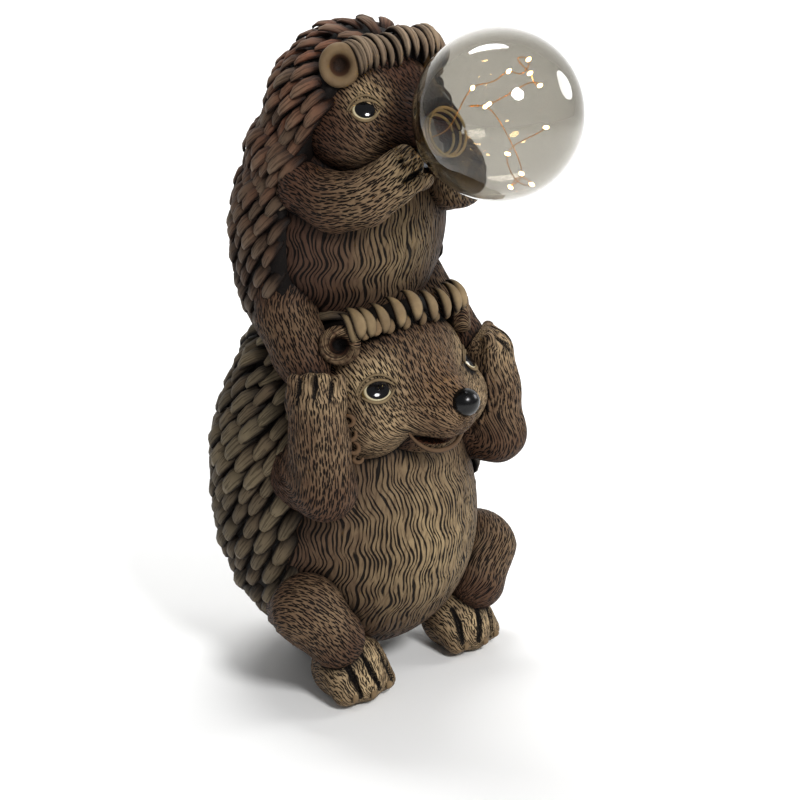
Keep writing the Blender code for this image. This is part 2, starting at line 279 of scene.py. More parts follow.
def spine_rays(spine, facing):
    """Rays for a closed skin about a spine: at v from 0 to 1 they turn from its start to its end."""
    knots = np.concatenate([[0], np.cumsum(np.linalg.norm(np.diff(spine, axis=0), axis=1))])
    path = smooth_path(spine, 65, 40, knots)
    heading = np.gradient(path, axis=0)
    heading /= np.linalg.norm(heading, axis=1, keepdims=True)

    def rays(u, v):
        share = 0.5 - 0.5 * np.cos(np.pi * v)
        start, along = (np.stack([np.interp(share, np.linspace(0, 1, 65), column) for column in line.T], 1)
                        for line in (path, heading))
        first = np.array(facing, float) - along * (along @ np.array(facing, float))[:, None]
        first /= np.linalg.norm(first, axis=1, keepdims=True)
        second = np.cross(along, first)
        turn = 2 * np.pi * u[None, :, None]
        flat = np.cos(turn) * first[:, None] + np.sin(turn) * second[:, None]
        lean = (np.pi * v)[:, None, None]
        return start[:, None], np.sin(lean) * flat - np.cos(lean) * along[:, None]

    return rays


def even_grid(solve, rows, columns, crowd):
    """v and u values for grid lines at even steps over the skin.

    crowd says how many times closer the columns stand at u = 0 than at u = 0.5.
    """
    coarse = np.linspace(0, 1, 41)
    points = solve(coarse, coarse)
    lines = []
    for axis, count in ((0, rows), (1, columns)):
        steps = np.linalg.norm(np.diff(points, axis=axis), axis=-1).mean(axis=1 - axis)
        if axis:
            middle = (coarse[1:] + coarse[:-1]) / 2
            steps = steps * (1 + (crowd - 1) * (0.5 + 0.5 * np.cos(2 * np.pi * middle)))
        run = np.concatenate([[0], np.cumsum(steps)])
        lines.append(np.interp(np.linspace(0, run[-1], count), run, coarse))
    return lines


def unit(vectors):
    """The vectors at length 1."""
    return vectors / np.maximum(np.linalg.norm(vectors, axis=-1, keepdims=True), 1e-9)


def skin_grid(distance, spine, facing, reach, rows, columns, crowd=1.0):
    """Points of a closed skin, its normals, and how far each point is along v and round u, in parts.

    From reach out, each point moves down its ray by the distance left to the form, over and over.
    """
    rays = spine_rays(spine, facing)

    def solve(v, u):
        start, ray = rays(u, v)
        travel = np.full(ray.shape[:2], float(reach))
        for _ in range(40):
            travel = np.clip(travel - 0.9 * distance(start + travel[..., None] * ray), 0.02, reach)
        return start + travel[..., None] * ray

    v, u = even_grid(solve, rows, columns + 1, crowd)
    points = solve(v, u)
    points[0], points[-1] = points[0].mean(0), points[-1].mean(0)
    across = np.roll(points[:, :-1], -1, 1) - np.roll(points[:, :-1], 1, 1)
    across = np.concatenate([across, across[:, :1]], 1)
    down = np.gradient(points, axis=0)
    normals = unit(np.cross(across, down))
    normals[0], normals[-1] = unit(normals[1].mean(0)), unit(normals[-2].mean(0))
    if (normals * rays(u, v)[1]).sum() < 0:
        normals = -normals
    down_steps, round_steps = (np.linalg.norm(np.diff(points, axis=axis), axis=-1) for axis in (0, 1))
    along = np.concatenate([np.zeros((1, columns + 1)), np.cumsum(down_steps, 0)])
    round_it = np.concatenate([np.zeros((rows, 1)), np.cumsum(round_steps, 1)], 1)
    return points, normals, along, round_it


def chance(*keys):
    """A number from 0 to 1 for each set of whole-number keys, always the same."""
    mixed = sum(np.asarray(key, float) * weight for key, weight in zip(keys, (127.1, 311.7, 74.7)))
    return np.abs(np.modf(np.sin(mixed) * 43758.5453)[0])


def strokes(along, round_it, pitch, length, width, shift=0.0, seed=0):
    """How deep the skin is cut by short strokes along v: 1 in the middle of one, 0 between them.

    Two brick patterns lie over each other. In each cell is one lens, of the length and width
    given, off its middle by chance. All are in parts, and shift moves the strokes round.
    """
    tall = 1.25 * length
    ring = np.maximum(round_it[:, -1], 1e-6)
    share = round_it / ring[:, None]
    depth = np.zeros(along.shape)
    middle_run = along.mean(1)
    for layer in range(2):
        run = along / tall + 0.5 * layer
        band = np.floor(run)
        there = np.interp((band + 0.5 - 0.5 * layer) * tall, middle_run, ring)
        count = np.maximum(3, np.round(there / (2 * pitch)))
        up = run - band - 0.5
        cell_share = share * count + 0.5 * layer + shift / (2 * pitch)
        cell = np.floor(cell_share)
        out = (cell_share - cell - 0.5) * 2 * pitch
        key = np.mod(cell, count)
        off = (chance(key, band, layer + seed) - 0.5) * 0.9 * pitch
        size = 0.7 + 0.5 * chance(key, band, layer + seed + 7)
        lift = (chance(key, band, layer + seed + 13) - 0.5) * 0.2
        taper = np.clip(1 - ((up - lift) / (0.42 * np.minimum(size, 1))) ** 2, 0, 1)
        lens = np.clip(1.7 - 2 * np.abs(out - off) / (width * size * np.sqrt(taper) + 1e-4), 0, 1)
        depth = np.maximum(depth, lens * np.minimum(1, 2 * taper))
    return depth


def spots(points, places):
    """A sum of soft spots (centre, radius, strength) at the points, the same on both sides."""
    mirrored = np.concatenate([np.abs(points[..., :1]), points[..., 1:]], -1)
    total = np.zeros(points.shape[:-1])
    for centre, radius, strength in places:
        total += strength * np.exp(-(np.linalg.norm(mirrored - np.array(centre), axis=-1) / radius) ** 2)
    return total


def grid_object(name, points, numbers, material, node="hedgehog_pair"):
    """A closed mesh from rows of rings in parts, with each first and last row drawn into one point."""
    rows, columns = points.shape[0], points.shape[1] - 1
    rings = points[1:-1, :-1].reshape(-1, 3)
    verts = np.concatenate([points[:1, 0], rings, points[-1:, 0]])
    ring = np.arange(columns)
    here = 1 + np.arange(rows - 3)[:, None] * columns
    quads = np.stack([here + ring, here + (ring + 1) % columns,
                      here + columns + (ring + 1) % columns, here + columns + ring], -1).reshape(-1, 4)
    last = len(verts) - 1
    first_fan = np.stack([np.zeros(columns, int), 1 + (ring + 1) % columns, 1 + ring], -1)
    end = 1 + (rows - 3) * columns
    last_fan = np.stack([np.full(columns, last), end + ring, end + (ring + 1) % columns], -1)
    faces = first_fan.tolist() + quads.tolist() + last_fan.tolist()
    flat = {}
    for key, value in numbers.items():
        value = np.broadcast_to(value, points.shape[:2])
        flat[key] = np.concatenate([value[:1, 0], value[1:-1, :-1].ravel(), value[-1:, 0]])
    finished_piece(name, verts, faces, flat, material, node)


def finished_piece(name, verts, faces, numbers, material, node):
    """A smooth closed piece that faces outward, on the body, and stands for a node of the CAD.

    The points are in parts, and each of the numbers is an array with a value for every point.
    """
    mesh = bpy.data.meshes.new(name)
    mesh.from_pydata((verts * PART).tolist(), [], faces)
    for key, value in numbers.items():
        mesh.attributes.new(key, "FLOAT", "POINT").data.foreach_set("value", value.astype(np.float32))
    shape = bmesh.new()
    shape.from_mesh(mesh)
    if shape.calc_volume(signed=True) < 0:
        mesh.flip_normals()
    shape.free()
    mesh.shade_smooth()
    mesh.materials.append(material)
    piece = bpy.data.objects.new(name, mesh)
    scene.collection.objects.link(piece)
    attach(piece, "root")
    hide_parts(node)


def crease_shade(points, others):
    """Painted shade, with the wash, where another form stands close: 1 at its skin, and none a few mm off."""
    if not others:
        return 0.0
    return np.exp(-np.maximum(form_distance(points, others, 0.3), 0) / 0.22)


FUR_DEPTH = 0.045


def add_skin(name, forms, spine, facing, reach, rows, columns, fur, gold, others=(), rust=(), crowd=1.0,
             side=1, digits=(), scoops=(), grooves=(), material=furred):
    """One furred skin. fur gives the cut depth from the points and the way along and round.

    With side at -1, the spine and the way it faces are mirrored, as the forms always are.
    The digits sink into the forms and into each other less than the forms do. Scoops are hollowed
    out and bare, and grooves are cut in along limbs and hold the wash.
    """
    def distance(points):
        found = form_distance(points, forms, 1.0)
        if digits:
            fingers = form_distance(points, digits, 0.15)
            near = np.clip(0.5 + (fingers - found) / 0.8, 0, 1)
            found = fingers + near * (found - fingers) - 0.4 * near * (1 - near)
        centre, radius = GLOBE_ROOM
        found = np.maximum(found, radius - np.linalg.norm(points - centre, axis=-1))
        for hollow in (scoops, grooves):
            if hollow:
                found = np.maximum(found, -form_distance(points, hollow, 0.1))
        return found

    mirror = np.array((side, 1, 1))
    points, normals, along, round_it = skin_grid(
        distance, mirror * np.array(spine), mirror * np.array(facing), reach, rows, columns, crowd)
    cut, lay_round, lay_along = fur(points, along, round_it)
    bare = np.zeros(cut.shape)
    if scoops:
        bare = np.clip(1 - form_distance(points, scoops, 0.1) / 0.06, 0, 1)
    stained = np.zeros(cut.shape)
    if grooves:
        stained = np.clip(1.2 - form_distance(points, grooves, 0.1) / 0.06, 0, 1)
    cut = cut * (1 - bare) * (1 - stained)
    moved = points - FUR_DEPTH * cut[..., None] * normals
    moved[..., 2] = np.maximum(moved[..., 2], 0.0)
    numbers = {
        # Wash in the cut fur and grooves; painted shade and wash where other forms come close.
        "wash_and_shade": np.clip(0.12 * cut + 0.95 * stained + 0.4 * bare + crease_shade(points, others), 0, 1),
        "gold": np.clip(spots(points, gold) * (1 - 0.3 * cut) * (1 - bare), 0, 1),
        "rust": np.clip(spots(points, rust) + bare, 0, 1),
        "lay_round": lay_round,
        "lay_along": lay_along,
    }
    grid_object(name, moved, numbers, material)


# The forms of the pieces that touch the trunk stand here too: painted shade, with the wash, darkens the skin where
# they come close.
LOWER_TRUNK = [
    ((0, -0.9, 8.9), (6.9, 6.9, 7.7)),
    ((0, -1.2, 14.4), (6.1, 5.0, 4.4)),
    ((0, -2.0, 9.6), (7.3, 4.2, 7.6)),
    ((0, 1.4, 3.0), (3.6, 3.0, 4.0)),
]
LOWER_HEAD = [
    ((0, -2.8, 18.8), (5.1, 4.3, 3.9)),
    ((3.1, -4.6, 16.8), (2.7, 2.6, 2.3)),
    ((0, 0.8, 21.0), (4.8, 4.3, 4.0)),
    [(0, -4.4, 18.4, 2.9), (0, -8.7, 18.0, 1.0)],
    [(0, -5.0, 17.4, 2.3), (0, -8.35, 16.98, 0.95)],
    [(2.3, -5.8, 17.4, 1.1), (0.7, -8.0, 17.0, 0.95)],
]
LOWER_JAW = [((0, -5.5, 15.9), (2.6, 2.35, 1.35)), [(0, -3.6, 16.0, 1.6), (0, -6.9, 15.6, 0.75)]]
LOWER_MOUTH = [((0, -7.0, 16.35), (2.05, 2.0, 1.05))]
LOWER_EYE = ((3.6, -6.1, 18.79), (0.78, 0.5, 0.6))
LOWER_BROW = [[(0, -4.6, 22.7, 1.0), (2.5, -4.4, 22.4, 1.0), (4.1, -3.6, 21.9, 0.95)]]
LOWER_ARM = [
    [(5.0, -1.8, 15.8, 2.2), (6.4, -3.3, 13.9, 1.9), (6.95, -5.4, 13.7, 1.6)],
    [(6.95, -5.4, 13.7, 1.6), (6.95, -5.0, 16.4, 1.5), (6.95, -4.6, 18.6, 1.55)],
]
LOWER_LEG = [[(5.6, -1.2, 4.8, 1.8), (7.3, -4.1, 6.1, 1.85), (5.9, -4.9, 4.1, 1.75)]]


def way_round(round_it):
    """How far each point is from the line that faces forward, with a sign, in parts."""
    return np.where(round_it > round_it[:, -1:] / 2, round_it - round_it[:, -1:], round_it)


def belly_strands(points, along, round_it):
    """Long strands that wave sideways: slow sines along v shift the strokes round u."""
    turn = 2 * np.pi * round_it / np.maximum(round_it[:, -1:], 1e-6)
    wave = 0.17 * np.sin(2 * np.pi * along / 2.6 + 1.3 * np.sin(3 * turn + 0.3 * along) + 0.5 * np.sin(7 * turn + 1))
    wave += 0.04 * np.sin(2 * np.pi * along / 1.3 + 2.0 * np.sin(4 * turn - 0.4 * along))
    return strokes(along, round_it, 0.3, 1.3, 0.1, shift=wave, seed=3), way_round(round_it) - wave, along


add_skin("lower_trunk", LOWER_TRUNK, [(0, 0.2, 2.5), (0, -0.6, 8), (0, -1.2, 14)], (0, -1, 0), 8.5, 160, 430,
         belly_strands, [((0, -7.9, 9.5), 5.5, 0.62)], LOWER_ARM + LOWER_LEG + LOWER_HEAD + LOWER_JAW, crowd=5.0,
         material=stranded)

# Lower hedgehog's head and jaw, one casting with the trunk. Short strokes of fur run back from the
# nose, and the open mouth shows bare paint.


def short_fur(points, along, round_it):
    """Short straight strokes along the limb."""
    return strokes(along, round_it, 0.25, 0.5, 0.1), way_round(round_it), along


add_skin("lower_head", LOWER_HEAD, [(0, -1.5, 19.2), (0, -4.5, 18.6), (0, -8.3, 17.9)], (0, -0.2, 1), 6.5, 165, 450,
         short_fur, [((3.6, -6.0, 19.9), 1.4, 0.7), ((3.4, -6.2, 16.9), 2.2, 0.65), ((0, -7, 20), 3.0, 0.22),
                     ((0, -8.5, 17.5), 1.6, 0.35), ((4.6, -5.0, 19.5), 1.0, 0.4)],
         LOWER_ARM + LOWER_JAW + LOWER_BROW + [LOWER_EYE], [((0, -8.0, 18.6), 2.2, 0.35)])
add_skin("lower_jaw", LOWER_JAW, [(0, -4.6, 15.7), (0, -6.6, 15.5)], (0, 0, -1), 3.4, 90, 160,
         short_fur, [((0, -7.5, 14.8), 1.4, 0.5)], LOWER_HEAD[:3], scoops=LOWER_MOUTH)

# Lower hedgehog's arms, legs and feet, in the same casting. Three grooves part the four digits of each
# paw. The left foot stands a little further out and back than the right one.
FEET = (("right", -1, -0.1, 0.0), ("left", 1, 0.3, 0.45))


def fine_fur(points, along, round_it):
    """Thin soft strokes, as on the paws."""
    return 0.7 * strokes(along, round_it, 0.25, 0.6, 0.08, seed=5), way_round(round_it), along


for word, side, out, back in FEET:
    fingers = [[(6.9 + spread, -4.75 + spread, 18.4, 0.42), (6.85 + spread, -4.7 + spread, 19.85, 0.38)]
               for spread in (-0.9, -0.3, 0.3, 0.9)]
    between = [[(7.7, -4.28, 19.98, 0.09), (8.19, -4.76, 19.51, 0.11), (8.45, -4.87, 18.85, 0.06)],
               [(7.04, -4.82, 20.2, 0.09), (7.58, -5.42, 19.76, 0.11), (7.88, -5.63, 19.2, 0.06)],
               [(6.3, -5.3, 19.95, 0.09), (6.83, -5.85, 19.52, 0.11), (7.16, -6.04, 19.0, 0.06)]]
    add_skin(f"lower_{word}_arm", LOWER_ARM,
             [(5.4, -2.3, 15.2), (6.4, -3.6, 14.0), (6.9, -5.0, 13.9), (6.95, -5.0, 15.5), (6.9, -4.7, 19.0)],
             (1, -1, 0), 2.6, 128, 180, short_fur,
             [((6.95, -5.5, 19.7), 1.8, 0.6), ((7.2, -6.0, 16.0), 2.6, 0.25)], LOWER_HEAD + LOWER_TRUNK,
             side=side, digits=fingers, grooves=between)
    add_skin(f"lower_{word}_leg", LOWER_LEG,
             [(5.8, -1.6, 5.0), (7.1, -4.0, 5.9), (6.0, -4.8, 4.3)], (1, -1, 0), 2.4, 80, 150,
             short_fur, [((7.2, -5.0, 6.2), 2.4, 0.35)], LOWER_TRUNK, side=side)
    foot = [((4.65 + out, -4.3 + back, 1.6), (2.0, 2.1, 1.9)),
            [(3.3 + out, -4.8 + back, 2.2, 0.75), (3.1 + out, -6.0 + back, 0.9, 0.65)],
            [(4.6 + out, -4.9 + back, 2.3, 0.85), (4.7 + out, -6.15 + back, 0.9, 0.7)],
            [(5.9 + out, -4.8 + back, 2.2, 0.75), (6.2 + out, -5.9 + back, 0.9, 0.65)]]
    between = [[(x + out, y + back, z, size) for (x, y, z), size in zip(line, (0.12, 0.19, 0.15))]
               for line in (((5.94, -5.67, 2.82), (5.87, -6.26, 1.99), (5.61, -6.65, 0.82)),
                            ((4.84, -5.92, 2.98), (4.68, -6.51, 2.11), (4.29, -6.86, 1.01)),
                            ((3.31, -5.49, 2.97), (3.26, -6.12, 2.13), (3.09, -6.62, 1.15)))]
    add_skin(f"lower_{word}_foot", foot,
             [(4.65 + out, -3.4 + back, 1.5), (4.65 + out, -5.6 + back, 1.2)], (0, 0, 1), 3.2, 94, 170,
             fine_fur, [((4.8 + out, -6.0 + back, 2.0), 2.6, 1.0)], LOWER_LEG + LOWER_TRUNK,
             side=side, grooves=between)

# Coats of both hedgehogs. Each is a shell under staggered rows of thick quills that point down and
# back, one cast piece with the body, and the shell is painted near black as the wash and shade between
# them. Every quill is a leaf with a round tip that stands a little off.
# A coat is a list of eggs: centre, radii, how far forward it reaches, and how its front leans back.


def coat_lattice(coat, core, lean, row_pitch, quill_pitch):
    """Staggered places on a coat behind its fronts, in parts, as (points, normals, flow directions).

    Rows are rings about a pole that leans forward by an angle. A ray from the core meets the
    union of the eggs where it leaves the last of them, and the flow there is the way down
    from the pole in the surface.
    """
    pole = np.array([0.0, -math.sin(lean), math.cos(lean)])
    level = np.array([0.0, math.cos(lean), math.sin(lean)])
    reach = coat[-1][1][0] + 3.5
    places = []
    angle = 0.5 * row_pitch / reach
    row = 0
    while angle < math.pi:
        count = max(3, round(2 * math.pi * reach * math.sin(angle) / quill_pitch))
        turn = (np.arange(count) + 0.5 * (row % 2)) * 2 * math.pi / count
        turn = turn + (chance(np.arange(count), row) - 0.5) * 0.35 * 2 * math.pi / count
        ring = np.stack([np.sin(turn), np.cos(turn)], 1) * math.sin(angle)
        rays = ring[:, :1] * np.array([1.0, 0.0, 0.0]) + ring[:, 1:] * level + math.cos(angle) * pole
        farthest = np.zeros(count)
        normals = np.zeros((count, 3))
        behind = np.zeros(count)
        for centre, radii, front, lean_back in coat:
            scaled_ray = rays / np.array(radii)
            scaled_core = (np.array(core) - np.array(centre)) / np.array(radii)
            square = (scaled_ray**2).sum(1)
            half = scaled_ray @ scaled_core
            inside = half**2 - square * (scaled_core @ scaled_core - 1.0)
            leave = (-half + np.sqrt(np.maximum(inside, 0.0))) / square
            last = (inside > 0) & (leave > farthest)
            farthest[last] = leave[last]
            met = np.array(core) + leave[:, None] * rays
            normals[last] = ((met - np.array(centre)) / np.array(radii) ** 2)[last]
            behind[last] = (met[:, 1] - front + lean_back * (met[:, 2] - centre[2]))[last]
        normals = unit(normals)
        flow = unit(-pole + (normals @ pole)[:, None] * normals)
        kept = behind > 0
        places.append((np.array(core) + (farthest[:, None] * rays)[kept], normals[kept], flow[kept]))
        reach = farthest[kept].mean() if kept.any() else reach
        angle += row_pitch / reach
        row += 1
    return [np.concatenate(column) for column in zip(*places)]


def add_leaves(name, paths, outs, halves, thicks, ring, numbers, material, node="hedgehog_pair"):
    """Closed leaves along paths: cross-sections are ellipses, halves wide across and thicks high.

    paths and outs have a place and an outward direction for each leaf and step, in parts, and
    the numbers broadcast to leaf, step and ring. Each first and last step is a point.
    """
    paths = np.asarray(paths, float)
    leaves, steps = paths.shape[:2]
    heading = unit(np.gradient(paths, axis=1))
    across = unit(np.cross(heading, np.broadcast_to(outs, paths.shape)))
    out = np.cross(across, heading)
    turn = 2 * np.pi * np.arange(ring) / ring
    halves, thicks = (np.broadcast_to(size, (leaves, steps))[..., None, None] for size in (halves, thicks))
    rings = (paths[:, :, None] + across[:, :, None] * halves * np.cos(turn)[:, None]
             + out[:, :, None] * thicks * np.sin(turn)[:, None])[:, 1:-1]
    each = (steps - 2) * ring + 2
    verts = np.concatenate([paths[:, :1], rings.reshape(leaves, -1, 3), paths[:, -1:]], 1).reshape(-1, 3)
    around = np.arange(ring)
    after = (around + 1) % ring
    start = 1 + np.arange(steps - 3)[:, None] * ring
    quads = np.stack([start + around, start + ring + around, start + ring + after, start + after], -1).reshape(-1, 4)
    end = 1 + (steps - 3) * ring
    fans = np.concatenate([np.stack([np.zeros(ring, int), 1 + around, 1 + after], -1),
                           np.stack([np.full(ring, each - 1), end + after, end + around], -1)])
    first = each * np.arange(leaves)[:, None, None]
    faces = (quads + first).reshape(-1, 4).tolist() + (fans + first).reshape(-1, 3).tolist()
    flat = {}
    for key, value in numbers.items():
        value = np.broadcast_to(value, (leaves, steps, ring))
        value = np.concatenate([value[:, :1, 0], value[:, 1:-1].reshape(leaves, -1), value[:, -1:, 0]], 1)
        flat[key] = value.ravel()
    finished_piece(name, verts, faces, flat, material, node)


def add_coat(word, coat, margins, core, lean, pitches, quill, lowest, spine, material, rust, bare):
    """The coat's shell, and quills of that length, width and rise on it and past its fronts by margins.

    No quill starts below the lowest height, or has its middle in one of the bare forms. Where two
    eggs meet in a hollow, a quill that would sink into the shell is raised along its normal.
    """
    def distance(points):
        found = np.full(points.shape[:-1], 99.0)
        for centre, radii, front, lean_back in coat:
            egg = form_distance(points, [(centre, radii)], 1.0)
            cut = front - lean_back * (points[..., 2] - centre[2]) - points[..., 1]
            found = np.minimum(found, np.maximum(egg, cut / math.hypot(1, lean_back)))
        return found

    points = skin_grid(distance, spine, (0, 1, 0), 12.0, 60, 60)[0]
    points[..., 2] = np.maximum(points[..., 2], 0.0)
    # The shell is painted near black all over: the wash and the shade in the gaps between the quills.
    grid_object(f"{word}_coat", points, {"wash_and_shade": 0.95, "gold": 0.0, "rust": 0.0}, material)
    length, width, rise = quill
    wider = [(centre, radii, front - margin, back) for (centre, radii, front, back), margin in zip(coat, margins)]
    roots, normals, flow = coat_lattice(wider, core, lean, *pitches)
    kept = (roots[:, 2] > lowest) & (form_distance(roots + 0.5 * length * flow, bare, 0.1) > 0)
    roots, normals, flow = roots[kept], normals[kept], flow[kept]
    luck = chance(np.arange(len(roots)), 5)[:, None]
    step = np.array([0.0, 0.05, 0.25, 0.5, 0.78, 0.94, 1.0])
    lift = np.array([-1.0, -0.8, 0.1, 0.65, 0.9, 0.8, 0.5])
    swell = np.array([0.0, 0.6, 0.95, 1.0, 0.82, 0.45, 0.0])
    coat_radius = coat[0][1][1]
    paths = (roots[:, None] + flow[:, None] * step[:, None] * length * (0.92 + 0.16 * luck[..., None])
             + normals[:, None] * (lift[:, None] * rise * (0.8 + 0.5 * luck[..., None])
                                   - (step[:, None] * length) ** 2 / (2 * coat_radius)))
    sunk = np.maximum(0.8 * lift * rise - distance(paths) - 0.25, 0)
    paths += sunk[..., None] * normals[:, None]
    paths[..., 2] = np.maximum(paths[..., 2], 0.35)
    side = np.cross(flow, normals)
    paths += side[:, None] * ((luck[..., None] - 0.5) * 0.25 * step[:, None] ** 2)
    ring = 8
    height = np.sin(2 * np.pi * np.arange(ring) / ring)
    numbers = {
        # Wash and painted shade: each quill is darker on its underside and towards its root.
        "wash_and_shade": np.clip(1.5 - 1.9 * np.clip(height, 0, 1) * np.minimum(1, 2 * step[:, None]), 0, 0.88),
        "gold": np.clip((0.35 + 0.5 * luck)[..., None] * (height > 0.1) * step[:, None] ** 1.5, 0, 1),
        "rust": (rust(roots) * (0.2 + 0.8 * chance(np.arange(len(roots)), 9)))[:, None, None],
        "lay_round": 0.3 * width * np.arange(ring) + 50 * luck[..., None],
        "lay_along": length * step[:, None],
    }
    add_leaves(f"{word}_quills", paths, normals[:, None], width / 2 * swell * (0.85 + 0.3 * luck),
               0.38 * rise * swell, ring, numbers, material)


LOWER_COAT = [
    ((0, 0.3, 12.0), (8.45, 6.8, 11.0), -3.0, 0.0),
    ((0, -2.2, 18.8), (5.3, 4.2, 4.5), -3.4, 0.45),
]
UPPER_COAT = [
    ((0, 0.3, 26.2), (6.6, 6.1, 8.6), -1.2, 0.0),
    ((0, -0.1, 30.5), (5.75, 5.35, 5.3), -1.5, 0.2),
    ((0, -0.9, 32.55), (5.15, 5.1, 5.7), -1.9, 0.42),
]
lower_quilled = painted_resin("painted lower quills", "#40382d", "#958669", "#5a3c2c", "streaks")
upper_quilled = painted_resin("painted upper quills", "#3d3026", "#93806a", "#86472d", "streaks")
add_coat("lower", LOWER_COAT, margins=(0.7, 0.1), core=(0, 0.2, 13.0), lean=0.65, pitches=(1.5, 0.98),
         quill=(2.8, 1.02, 0.6), lowest=1.0, spine=[(0, 0.5, 3.0), (0, 0.5, 12), (0, 0.5, 19)],
         material=lower_quilled, rust=lambda places: np.full(len(places), 0.3),
         bare=[((4.95, -4.5, 21.4), (1.6, 1.6, 1.5)), ((0, -5.5, 21.0), (5.0, 2.5, 2.5))])
add_coat("upper", UPPER_COAT, margins=(0.75, 0.7, 0.5), core=(0, -0.2, 29.0), lean=0.65, pitches=(1.15, 0.8),
         quill=(2.2, 0.84, 0.42), lowest=18.4, spine=[(0, 0.8, 20.0), (0, 0.8, 28), (0, 0.8, 34)],
         material=upper_quilled, rust=lambda places: np.clip((places[:, 2] - 22) / 22, 0.05, 0.7),
         bare=[((3.6, -3.25, 36.6), (1.6, 1.6, 1.6)), ((0, -5.4, 36.0), (3.7, 2.0, 2.8))])

# Upper hedgehog's head, trunk, arms and legs, made as the lower one's are. Its hands hold the globe's
# neck at the mouth, and its feet are hidden behind the lower one's paws.
UPPER_HEAD = [
    ((0, -1.6, 33.4), (4.3, 3.9, 3.9)),
    ((2.2, -2.9, 32.6), (2.3, 2.4, 2.0)),
    [(0, -3.0, 33.6, 2.6), (0, -6.6, 33.2, 1.8)],
]
UPPER_TRUNK = [((0, 0.3, 26.8), (5.3, 5.1, 6.6)), ((0, -0.9, 27.2), (6.15, 3.4, 6.2))]
UPPER_ARM = [
    [(4.9, -1.7, 29.8, 1.5), (4.3, -3.5, 29.2, 1.45), (3.6, -5.2, 29.6, 1.35)],
    [(3.6, -5.2, 29.6, 1.35), (2.6, -6.3, 30.6, 1.15), (2.1, -6.7, 31.4, 1.0)],
]
UPPER_LEG = [[(4.5, 0.5, 24.2, 2.0), (5.2, -0.4, 22.2, 1.6), (5.6, -2.0, 20.6, 1.5), (6.2, -3.3, 19.6, 1.2)]]
NECK_SOCKET = [[(0, -8.94, 33.54, 1.6), (0, -7.21, 32.9, 1.6)]]
add_skin("upper_head", UPPER_HEAD, [(0, -0.8, 33.6), (0, -3.0, 33.5), (0, -5.2, 33.4)], (0, -0.1, 1), 5.5, 137, 400,
         short_fur, [((2.8, -4.4, 35.0), 1.1, 0.8), ((2.6, -4.2, 32.0), 1.4, 0.3)], UPPER_ARM,
         scoops=NECK_SOCKET)
add_skin("upper_trunk", UPPER_TRUNK, [(0, 0, 22.5), (0, 0, 30.5)], (0, -1, 0), 6.0, 110, 320,
         belly_strands, [((0, -5.0, 26.5), 3.0, 0.5)], UPPER_ARM + UPPER_LEG + UPPER_HEAD + LOWER_HEAD, crowd=4.0,
         material=stranded)
for side, word in ((-1, "right"), (1, "left")):
    fingers = [[(3.1, -6.3, 31.5, 0.45), (2.2, -6.8, 32.15, 0.42)],
               [(3.1, -6.8, 30.9, 0.48), (2.1, -7.55, 31.6, 0.42)],
               [(2.7, -7.0, 30.2, 0.5), (2.0, -8.5, 30.85, 0.4)]]
    between = [[(3.4, -6.9, 31.3, 0.05), (2.85, -7.25, 31.8, 0.12), (2.2, -7.35, 32.1, 0.1)],
               [(3.15, -7.5, 30.65, 0.05), (2.65, -7.85, 31.1, 0.12), (1.9, -8.05, 31.45, 0.1)]]
    add_skin(f"upper_{word}_arm", UPPER_ARM,
             [(4.8, -2.0, 29.7), (4.3, -3.5, 29.3), (3.6, -5.1, 29.7), (2.6, -6.2, 30.6), (1.9, -6.9, 31.6)],
             (1, -1, 0), 2.3, 106, 160, short_fur,
             [((2.0, -7.2, 31.2), 1.9, 0.95), ((3.9, -5.2, 29.6), 2.2, 0.3)], UPPER_HEAD + UPPER_TRUNK,
             side=side, digits=fingers, grooves=between)
    add_skin(f"upper_{word}_leg", UPPER_LEG,
             [(4.6, 0.2, 24.0), (5.2, -0.5, 22.2), (5.6, -2.0, 20.7), (6.1, -3.1, 19.7)],
             (1, -0.5, 0), 2.6, 85, 130, short_fur, [((5.6, -1.5, 21.6), 2.2, 0.25)],
             UPPER_TRUNK + LOWER_HEAD + LOWER_ARM, side=side)

# Claws of the lower hedgehog's feet: three short pegs on each, cast with the toes and bent down at
# their tips.
CLAWS = ((6.05, -6.48, 1.1), (4.83, -6.74, 1.05), (3.4, -6.52, 1.1))


def ring_heights(ring):
    """How high each place of a leaf's ring lies, from -1 to 1: a sine round it."""
    return np.sin(2 * np.pi * np.arange(ring) / ring)


def roll_wash_and_shade(ring, start, fall, most):
    """Wash and painted shade on a roll, darker on its inner side: start less fall times the height
    of a place on it, from 0 to most.
    """
    return np.clip(start - fall * ring_heights(ring), 0, most)


step = np.linspace(0, 1, 8)
claws = [np.stack([side * (x + out) + 0 * step, y + back - 0.14 * np.sin(np.pi * step), z - 0.55 * step], 1)
         for _, side, out, back in FEET for x, y, z in CLAWS]
claw_size = np.sin(np.pi * step) ** 0.6
# Each claw is darker on the side against the foot: wash and painted shade.
add_leaves("lower_claws", claws, (0, -1, 0.2), 0.26 * claw_size, 0.16 * claw_size, 8,
           {"wash_and_shade": roll_wash_and_shade(8, 1.1, 1.6, 0.95), "gold": 0.4, "rust": 0.2}, plain_resin)

# Brow fringes of both hedgehogs: thick round-ended quills that curl over the brow from ear to ear, a
# row of small ones below the lower one's, and short curls beside its cheeks. All are cast with it.


